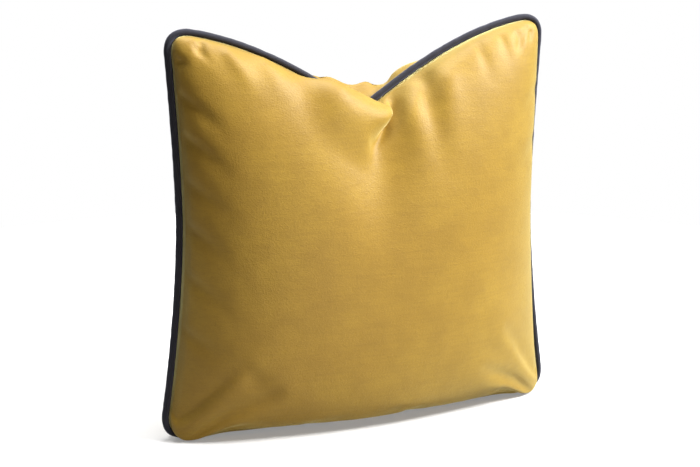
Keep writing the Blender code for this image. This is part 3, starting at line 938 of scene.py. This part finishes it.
front, frontSettled = makePanel("frontVelvet", -1, velvetCloth)
back, backSettled = makePanel("backVelvet", 1, velvetCloth)
tube = makePiping(navyCloth)
cord = makeCord(cordCotton)
caseFront = makeCase("insertCaseFront", frontSettled, -1, caseCotton)
caseBack = makeCase("insertCaseBack", backSettled, 1, caseCotton)
fill = makeFill("insertFill", frontSettled, backSettled, featherFill)
print("cover and insert made")


zipParts = {
    "toothPitch": 0.00136,
    "toothWire": 0.00028,
    "stitchPitch": 0.0031,
    "stitchLength": 0.0021,
    "stitchThread": 0.00022,
    "stitchInset": 0.0016,
    "stitchEnd": 0.003,  # bare tape at each end of a row
    "stitchBow": -1.6,
    "toothLean": 0.28,
}


def rowTree(name, sizes, makeItem, material):
    # a row of one item along x, with its sizes as named inputs
    tree = bpy.data.node_groups.new(name, "GeometryNodeTree")
    names = {"Count": "NodeSocketInt", "Pitch": "NodeSocketFloat", "Start": "NodeSocketVector"}
    names.update({label: "NodeSocketFloat" for label in sizes})
    for label, kind in names.items():
        tree.interface.new_socket(label, in_out="INPUT", socket_type=kind)
    tree.interface.new_socket("Geometry", in_out="OUTPUT", socket_type="NodeSocketGeometry")
    entry, result = tree.nodes.new("NodeGroupInput"), tree.nodes.new("NodeGroupOutput")
    step = addNode(tree, "ShaderNodeCombineXYZ", {"X": entry.outputs["Pitch"]})
    line = addNode(tree, "GeometryNodeMeshLine", {"Count": entry.outputs["Count"],
                   "Start Location": entry.outputs["Start"], "Offset": step.outputs[0]},
                   mode="OFFSET")
    item = makeItem(tree, entry)
    placedItems = addNode(tree, "GeometryNodeInstanceOnPoints",
                          {"Points": line.outputs[0], "Instance": item})
    real = addNode(tree, "GeometryNodeRealizeInstances", {"Geometry": placedItems.outputs[0]})
    smoothed = addNode(tree, "GeometryNodeSetShadeSmooth", {"Geometry": real.outputs[0]})
    painted = addNode(tree, "GeometryNodeSetMaterial",
                      {"Geometry": smoothed.outputs[0], "Material": material})
    tree.links.new(painted.outputs[0], result.inputs["Geometry"])
    return tree


def toothItem(tree, entry):
    # one turn of the coil: an oval loop of round wire, leaning along the zip
    half = [mathNode(tree, "MULTIPLY", entry.outputs[label], 0.5) for label in ("Tall", "Across")]
    size = addNode(tree, "ShaderNodeCombineXYZ", {"X": half[0], "Y": half[1], "Z": 1.0})
    loop = addNode(tree, "GeometryNodeCurvePrimitiveCircle", {"Resolution": 9, "Radius": 1.0})
    oval = addNode(tree, "GeometryNodeTransform", {"Geometry": loop.outputs[0],
                   "Rotation": (0.0, math.pi / 2, zipParts["toothLean"]), "Scale": size.outputs[0]})
    wire = addNode(tree, "GeometryNodeCurvePrimitiveCircle",
                   {"Resolution": 5, "Radius": entry.outputs["Wire"]})
    return addNode(tree, "GeometryNodeCurveToMesh", {"Curve": oval.outputs[0],
                   "Profile Curve": wire.outputs[0]}).outputs[0]


def stitchItem(tree, entry):
    # one stitch: a short bowed length of thread
    end = addNode(tree, "ShaderNodeCombineXYZ", {"X": entry.outputs["Length"]})
    half = mathNode(tree, "MULTIPLY", entry.outputs["Length"], 0.5)
    bow = mathNode(tree, "MULTIPLY", entry.outputs["Wire"], zipParts["stitchBow"])
    middle = addNode(tree, "ShaderNodeCombineXYZ", {"X": half, "Z": bow})
    thread = addNode(tree, "GeometryNodeCurveQuadraticBezier", {"Resolution": 4,
                     "Start": (0, 0, 0), "Middle": middle.outputs[0], "End": end.outputs[0]})
    wire = addNode(tree, "GeometryNodeCurvePrimitiveCircle",
                   {"Resolution": 5, "Radius": entry.outputs["Wire"]})
    return addNode(tree, "GeometryNodeCurveToMesh", {"Curve": thread.outputs[0],
                   "Profile Curve": wire.outputs[0], "Fill Caps": True}).outputs[0]


def makeRow(name, tree, **values):
    maker = meshObject(name + "Maker", [(0, 0, 0)], [])
    modifier = maker.modifiers.new("row", "NODES")
    modifier.node_group = tree
    for item in tree.interface.items_tree:
        if item.in_out == "INPUT":
            modifier[item.identifier] = values[item.name]
    maker.data.update()
    graph = bpy.context.evaluated_depsgraph_get()
    mesh = bpy.data.meshes.new_from_object(maker.evaluated_get(graph), depsgraph=graph)
    mesh.name = name
    row = bpy.data.objects.new(name, mesh)
    scene.collection.objects.link(row)
    oldMesh = maker.data
    bpy.data.objects.remove(maker)
    bpy.data.meshes.remove(oldMesh)
    return row


def makeCoil(name, node, tree, lag):
    low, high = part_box(node)
    z = zipParts
    wire, pitch = z["toothWire"], z["toothPitch"]
    start = low.x + pitch / 2 + lag * pitch
    return makeRow(name, tree, Count=int((high.x - start - wire) / pitch), Pitch=pitch,
                   Start=(start, (low.y + high.y) / 2, (low.z + high.z) / 2),
                   Wire=wire, Across=high.y - low.y - 2 * wire, Tall=high.z - low.z - 2 * wire)


def makeStitches(name, node, tree, y):
    low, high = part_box(node)
    z = zipParts
    return makeRow(name, tree, Count=int((high.x - low.x - 2 * z["stitchEnd"]) / z["stitchPitch"]),
                   Pitch=z["stitchPitch"], Start=(low.x + z["stitchEnd"], y, low.z - z["stitchThread"]),
                   Length=z["stitchLength"], Wire=z["stitchThread"])


threadNavy = makeWovenCloth("threadNavy", (0.010, 0.010, 0.016), (0.035, 0.035, 0.05), 3000.0,
                            0.6, 0.00005)
coilTree = rowTree("zipCoil", ("Wire", "Across", "Tall"), toothItem, coilNylon)
stitchTree = rowTree("stitchRow", ("Length", "Wire"), stitchItem, threadNavy)
coilFront = makeCoil("zipCoilFront", "zip_coil_front", coilTree, 0.0)
coilBack = makeCoil("zipCoilBack", "zip_coil_back", coilTree, 0.5)
stitchesFront = makeStitches("tapeStitchesFront", "zip_tape_front", stitchTree,
                             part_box("zip_tape_front")[0].y + zipParts["stitchInset"])
stitchesBack = makeStitches("tapeStitchesBack", "zip_tape_back", stitchTree,
                            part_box("zip_tape_back")[1].y - zipParts["stitchInset"])
print("zip made")

finishes = {
    "zip_tape_front": tapeCloth,
    "zip_tape_back": tapeCloth,
    "zip_top_stop_front": zipNickel,
    "zip_top_stop_back": zipNickel,
    "zip_bottom_stop": zipNickel,
    "zip_slider": zipNickel,
    "zip_pull_tab": zipNickel,
    "care_label": labelSatin,
}
for node, material in finishes.items():
    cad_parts[node].material_slots[0].material = material

# new piece, the CAD node that it stands for, and the record's finish
madePieces = (
    (front, "front_panel", "velvet"),
    (back, "back_panel", "velvet"),
    (tube, "piping_cover", "piping"),
    (cord, "piping_cord", "cord"),
    (caseFront, "insert_case_front", "insert_cotton"),
    (caseBack, "insert_case_back", "insert_cotton"),
    (fill, "insert_fill", "insert_feather"),
    (coilFront, "zip_coil_front", "zip_coil"),
    (coilBack, "zip_coil_back", "zip_coil"),
    (stitchesFront, None, "piping"),
    (stitchesBack, None, "piping"),
)
for piece, node, slotName in madePieces:
    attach(piece, "cushion")
    if node:
        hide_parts(node)


# the room, its lights and the camera
studio = {
    "floorRadius": 1.15,
    "floorSeen": 0.72,
    "floorBounce": 0.30,
    "floorGlow": 0.26,
    "seenWhite": 1.0,
    "fill": 0.024,
    "fillTint": (1.0, 0.72, 0.40),
}


def makeFloor():
    bm = bmesh.new()
    bmesh.ops.create_circle(bm, cap_ends=True, segments=96, radius=studio["floorRadius"])
    mesh = bpy.data.meshes.new("paleFloor")
    bm.to_mesh(mesh)
    bm.free()
    floor = bpy.data.objects.new("paleFloor", mesh)
    scene.collection.objects.link(floor)
    paint, tree, shader = newMaterial("floorPaint", (1, 1, 1), 0.95, **{
        "Specular IOR Level": 0.0, "Emission Color": (1, 1, 1, 1)})
    # pale to the camera, but it throws little light back at the cushion
    seen = tree.nodes.new("ShaderNodeLightPath").outputs["Is Camera Ray"]
    bounce, pale = studio["floorBounce"], studio["floorSeen"]
    tree.links.new(mixed(tree, seen, (bounce,) * 3, (pale,) * 3), shader.inputs["Base Color"])
    tree.links.new(mathNode(tree, "MULTIPLY", seen, studio["floorGlow"]),
                   shader.inputs["Emission Strength"])
    mesh.materials.append(paint)
    return floor


makeFloor()


def makeWorld():
    # white behind the cushion, and a weak warm light as its fill
    world = bpy.data.worlds.new("studio")
    scene.world = world
    world.use_nodes = True
    tree = world.node_tree
    background = tree.nodes["Background"]
    path = tree.nodes.new("ShaderNodeLightPath")
    tint = mixed(tree, path.outputs["Is Camera Ray"], studio["fillTint"], (1, 1, 1))
    tree.links.new(tint, background.inputs["Color"])
    level = addNode(tree, "ShaderNodeMapRange", {"Value": path.outputs["Is Camera Ray"],
                    "To Min": studio["fill"], "To Max": studio["seenWhite"]})
    tree.links.new(level.outputs["Result"], background.inputs["Strength"])


def addLight(name, place, aim, size, power, colour):
    lamp = bpy.data.lights.new(name, "AREA")
    lamp.shape, lamp.size, lamp.energy, lamp.color = "DISK", size, power, colour
    obj = bpy.data.objects.new(name, lamp)
    scene.collection.objects.link(obj)
    obj.location = place
    obj.rotation_euler = (Vector(aim) - Vector(place)).to_track_quat("-Z", "Y").to_euler()


makeWorld()
# place, aim, size, power and colour of each
lights = {
    "overheadLight": ((0.25, 0.1, 4.0), (0, 0, 0), 2.0, 186, (1, 1, 1)),
    "keyLight": ((1.85, -1.15, 2.0), (0, 0, 0.25), 0.9, 147, (1, 1, 1)),
    "backLight": ((0.1, 2.1, 0.9), (0, 0, 0.2), 1.0, 24, (1, 1, 1)),
    "lowLight": ((0.08, -0.95, 0.05), (-0.06, 0, 0.02), 0.35, 2.9, (1.0, 0.90, 0.78)),
}
for name, values in lights.items():
    addLight(name, *values)

cameraSetup = {
    "azimuth": -22.0,
    "elevation": 12.5,
    "distance": 1.458,
    "target": (-0.0141, 0.0, 0.2045),
    "lens": 70.0,
}


def makeCamera():
    c = cameraSetup
    a, e = math.radians(c["azimuth"]), math.radians(c["elevation"])
    away = Vector((math.sin(a) * math.cos(e), -math.cos(a) * math.cos(e), math.sin(e)))
    data = bpy.data.cameras.new("camera")
    data.lens, data.sensor_width = c["lens"], 36.0
    camera = bpy.data.objects.new("camera", data)
    scene.collection.objects.link(camera)
    camera.location = Vector(c["target"]) + away * c["distance"]
    camera.rotation_euler = (-away).to_track_quat("-Z", "Y").to_euler()
    scene.camera = camera


makeCamera()
scene.view_settings.view_transform = "Standard"
print("scene ready")
